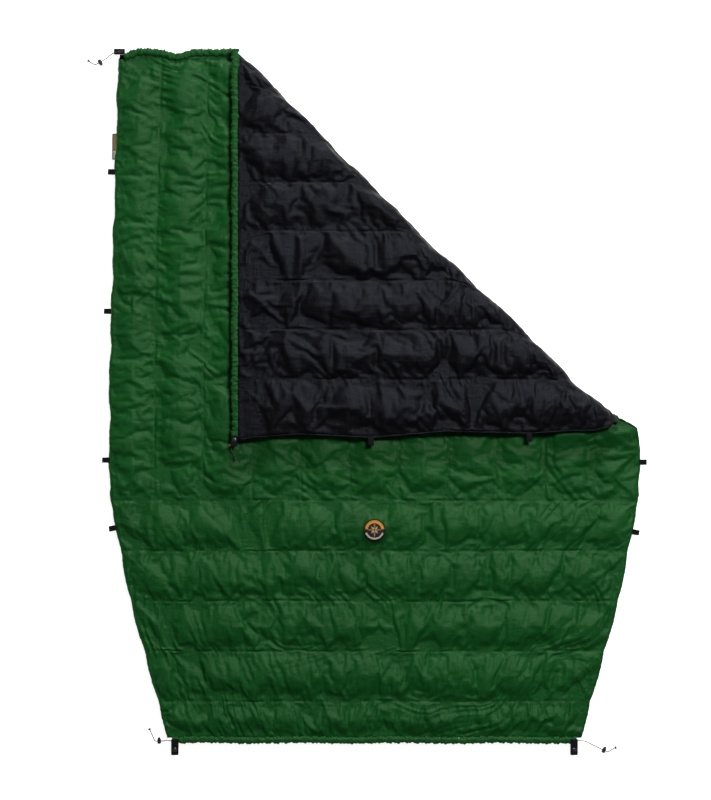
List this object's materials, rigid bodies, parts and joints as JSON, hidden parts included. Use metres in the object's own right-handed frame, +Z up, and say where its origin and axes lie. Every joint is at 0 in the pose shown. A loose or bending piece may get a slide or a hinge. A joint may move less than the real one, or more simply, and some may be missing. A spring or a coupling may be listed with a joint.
{
  "type": "camp quilt",
  "caption": "Tapered down camp quilt lying flat with one head corner folded back, baffled chambers, drawcord channels with cord locks, corner snap tabs and pad strap loops.",
  "frame": {"origin": "on the ground, under the middle of the quilt, its cord tails and locks left out", "axes": "+Y along the quilt from the foot towards the head; +Z up, away from the ground; +X to the right for someone who looks down on it with the head end away from them, the side whose corner is folded back"},
  "size_m": [1.565, 1.976, 0.088],
  "materials": {
    "shell_green": "forest green ripstop nylon, slight sheen",
    "lining_black": "near-black taffeta, slight sheen",
    "down_white": "down clusters",
    "baffle_mesh": "fine mesh",
    "cord_grey": "braided elastic cord",
    "plastic_black": "moulded, fine texture",
    "tape_black": "grosgrain tape",
    "snap_black": "moulded, satin",
    "label_woven": "woven label",
    "patch_charcoal": "printed badge"
  },
  "bodies": {
    "quilt": {"baffles_main": "baffle_mesh", "down_body_01": "down_white", "down_body_02": "down_white", "down_body_03": "down_white", "down_body_04": "down_white", "down_body_05": "down_white", "down_body_06": "down_white", "down_body_07": "down_white", "down_body_08": "down_white", "down_body_09": "down_white", "down_body_10": "down_white", "down_body_11": "down_white", "down_foot_01": "down_white", "down_foot_02": "down_white", "down_foot_03": "down_white", "down_foot_04": "down_white", "down_foot_05": "down_white", "foot_cord": "cord_grey", "foot_snap_left": "snap_black", "foot_snap_right": "snap_black", "foot_tab_left": "tape_black", "foot_tab_right": "tape_black", "lining_main": "lining_black", "neck_cord_left": "cord_grey", "neck_snap_left": "snap_black", "neck_tab_left": "tape_black", "pad_loop_left_1": "tape_black", "pad_loop_left_2": "tape_black", "pad_loop_left_3": "tape_black", "pad_loop_left_4": "tape_black", "pad_loop_right_1": "tape_black", "pad_loop_right_2": "tape_black", "round_patch": "patch_charcoal", "shell_main": "shell_green", "side_label": "label_woven"},
    "corner_flap": {"shell_flap": "shell_green", "lining_flap": "lining_black", "baffles_flap": "baffle_mesh", "neck_cord_right": "cord_grey", "neck_tab_right": "tape_black", "neck_snap_right": "snap_black", "pad_loop_right_3": "tape_black", "pad_loop_right_4": "tape_black", "down_flap_04": "down_white", "down_flap_05": "down_white", "down_flap_06": "down_white", "down_flap_07": "down_white", "down_flap_08": "down_white", "down_flap_09": "down_white", "down_flap_10": "down_white", "down_flap_11": "down_white"},
    "lock_neck_left": {"lock_body_neck_left": "plastic_black"},
    "button_neck_left": {"lock_button_neck_left": "plastic_black"},
    "lock_neck_right": {"lock_body_neck_right": "plastic_black"},
    "button_neck_right": {"lock_button_neck_right": "plastic_black"},
    "lock_foot_left": {"lock_body_foot_left": "plastic_black"},
    "button_foot_left": {"lock_button_foot_left": "plastic_black"},
    "lock_foot_right": {"lock_body_foot_right": "plastic_black"},
    "button_foot_right": {"lock_button_foot_right": "plastic_black"}
  },
  "joints": [
    {"name": "corner_fold", "type": "hinge", "parent": "quilt", "child": "corner_flap", "pos_m": [0.151, 0.439, 0.044], "axis": [-0.7071, 0.7071, 0], "range_deg": [0, 180]},
    {"name": "lock_slide_neck_left", "type": "slide", "parent": "quilt", "child": "lock_neck_left", "axis": [0.8673, 0.4978, 0], "range_m": [0, 0.01]},
    {"name": "button_press_neck_left", "type": "slide", "parent": "lock_neck_left", "child": "button_neck_left", "axis": [-0.4978, 0.8673, 0], "range_m": [0, 0.003], "stiffness_N_per_m": 60, "springref_m": -0.001},
    {"name": "lock_slide_neck_right", "type": "slide", "parent": "corner_flap", "child": "lock_neck_right", "axis": [0, 1, 0], "range_m": [0, 0.004]},
    {"name": "button_press_neck_right", "type": "slide", "parent": "lock_neck_right", "child": "button_neck_right", "axis": [-1, 0, 0], "range_m": [0, 0.003], "stiffness_N_per_m": 60, "springref_m": -0.001},
    {"name": "lock_slide_foot_left", "type": "slide", "parent": "quilt", "child": "lock_foot_left", "axis": [0.9988, 0.0487, 0], "range_m": [0, 0.0075]},
    {"name": "button_press_foot_left", "type": "slide", "parent": "lock_foot_left", "child": "button_foot_left", "axis": [0.0487, -0.9988, 0], "range_m": [0, 0.003], "stiffness_N_per_m": 60, "springref_m": -0.001},
    {"name": "lock_slide_foot_right", "type": "slide", "parent": "quilt", "child": "lock_foot_right", "axis": [-0.9037, 0.4281, 0], "range_m": [0, 0.028]},
    {"name": "button_press_foot_right", "type": "slide", "parent": "lock_foot_right", "child": "button_foot_right", "axis": [-0.4281, -0.9037, 0], "range_m": [0, 0.003], "stiffness_N_per_m": 60, "springref_m": -0.001}
  ]
}
